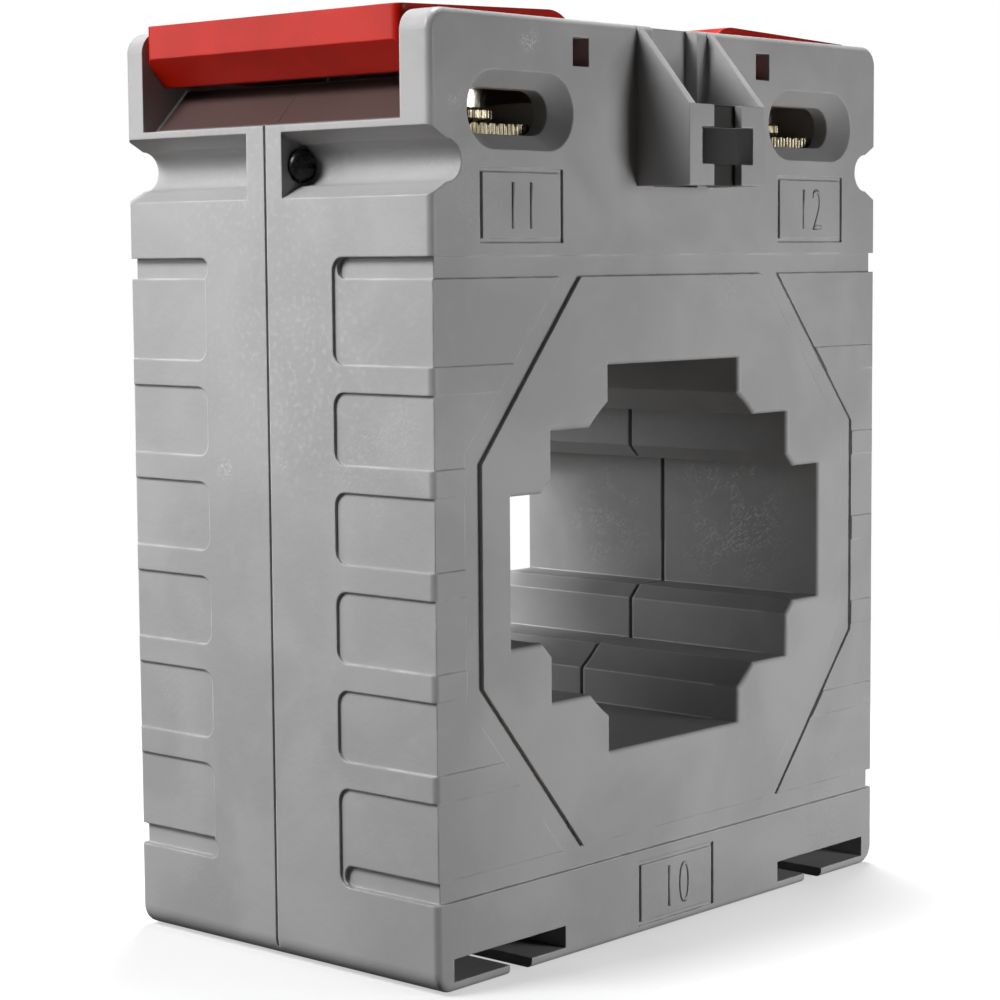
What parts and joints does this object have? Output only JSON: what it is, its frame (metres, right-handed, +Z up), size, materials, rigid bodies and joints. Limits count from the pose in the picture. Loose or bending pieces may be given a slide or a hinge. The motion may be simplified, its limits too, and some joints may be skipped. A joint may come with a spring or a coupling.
{
  "type": "window current transformer",
  "caption": "Window current transformer in a two-part grey case, stepped window for a bar or cable, hinged red terminal covers over clamp screws.",
  "frame": {"origin": "middle of the flat base, half-way through the depth of the case", "axes": "+X to the right seen from the front, +Y from the front to the rear, +Z up"},
  "size_m": [0.0866, 0.0587, 0.1115],
  "materials": {
    "moulded_grey": "satin mould-textured grey, lightly scuffed",
    "cover_red": "satin gloss red",
    "core_steel": "wound strip with dull edges",
    "core_tape": "matt insulating paper tape",
    "winding_wire": "enamelled copper wire, glossy",
    "winding_tape": "woven insulating tape",
    "foam_pad": "soft closed-cell foam",
    "lead_sleeve": "insulated lead",
    "terminal_metal": "thinly nickel-plated brass, ribbed",
    "screw_metal": "nickel-plated steel",
    "black_steel": "black oxide steel, semi-gloss"
  },
  "bodies": {
    "case": {"front_shell": "moulded_grey", "rear_shell": "moulded_grey", "core_ring": "core_steel", "core_wrap": "core_tape", "secondary_winding": "winding_wire", "winding_wrap": "winding_tape", "front_core_pad": "foam_pad", "rear_core_pad": "foam_pad", "left_lead": "lead_sleeve", "right_lead": "lead_sleeve", "left_terminal_plate": "terminal_metal", "right_terminal_plate": "terminal_metal", "left_case_screw": "black_steel", "right_case_screw": "black_steel"},
    "left_cover": {"left_terminal_cover": "cover_red"},
    "left_front_washer": {"left_front_clamp_washer": "terminal_metal"},
    "left_front_screw": {"left_front_clamp_screw": "screw_metal"},
    "left_rear_washer": {"left_rear_clamp_washer": "terminal_metal"},
    "left_rear_screw": {"left_rear_clamp_screw": "screw_metal"},
    "right_cover": {"right_terminal_cover": "cover_red"},
    "right_front_washer": {"right_front_clamp_washer": "terminal_metal"},
    "right_front_screw": {"right_front_clamp_screw": "screw_metal"},
    "right_rear_washer": {"right_rear_clamp_washer": "terminal_metal"},
    "right_rear_screw": {"right_rear_clamp_screw": "screw_metal"}
  },
  "joints": [
    {"name": "left_cover_hinge", "type": "hinge", "parent": "case", "child": "left_cover", "pos_m": [-0.01775, 0, 0.10625], "axis": [0, 1, 0], "range_deg": [0, 90]},
    {"name": "left_front_clamp_lift", "type": "slide", "parent": "case", "child": "left_front_washer", "axis": [0, 0, 1], "range_m": [0, 0.0022]},
    {"name": "left_front_screw_turn", "type": "hinge", "parent": "left_front_washer", "child": "left_front_screw", "pos_m": [-0.0282, -0.0147, 0.0998], "axis": [0, 0, 1], "range_deg": [0, 990]},
    {"name": "left_rear_clamp_lift", "type": "slide", "parent": "case", "child": "left_rear_washer", "axis": [0, 0, 1], "range_m": [0, 0.0022]},
    {"name": "left_rear_screw_turn", "type": "hinge", "parent": "left_rear_washer", "child": "left_rear_screw", "pos_m": [-0.0282, 0.016, 0.0998], "axis": [0, 0, 1], "range_deg": [0, 990]},
    {"name": "right_cover_hinge", "type": "hinge", "parent": "case", "child": "right_cover", "pos_m": [0.01775, 0, 0.10625], "axis": [0, -1, 0], "range_deg": [0, 90]},
    {"name": "right_front_clamp_lift", "type": "slide", "parent": "case", "child": "right_front_washer", "axis": [0, 0, 1], "range_m": [0, 0.0022]},
    {"name": "right_front_screw_turn", "type": "hinge", "parent": "right_front_washer", "child": "right_front_screw", "pos_m": [0.0282, -0.0147, 0.0998], "axis": [0, 0, 1], "range_deg": [0, 990]},
    {"name": "right_rear_clamp_lift", "type": "slide", "parent": "case", "child": "right_rear_washer", "axis": [0, 0, 1], "range_m": [0, 0.0022]},
    {"name": "right_rear_screw_turn", "type": "hinge", "parent": "right_rear_washer", "child": "right_rear_screw", "pos_m": [0.0282, 0.016, 0.0998], "axis": [0, 0, 1], "range_deg": [0, 990]}
  ],
  "couplings": [
    {"joint": "left_front_screw_turn", "follows": "left_front_clamp_lift", "rad_per_m": 7850},
    {"joint": "left_rear_screw_turn", "follows": "left_rear_clamp_lift", "rad_per_m": 7850},
    {"joint": "right_front_screw_turn", "follows": "right_front_clamp_lift", "rad_per_m": 7850},
    {"joint": "right_rear_screw_turn", "follows": "right_rear_clamp_lift", "rad_per_m": 7850}
  ]
}
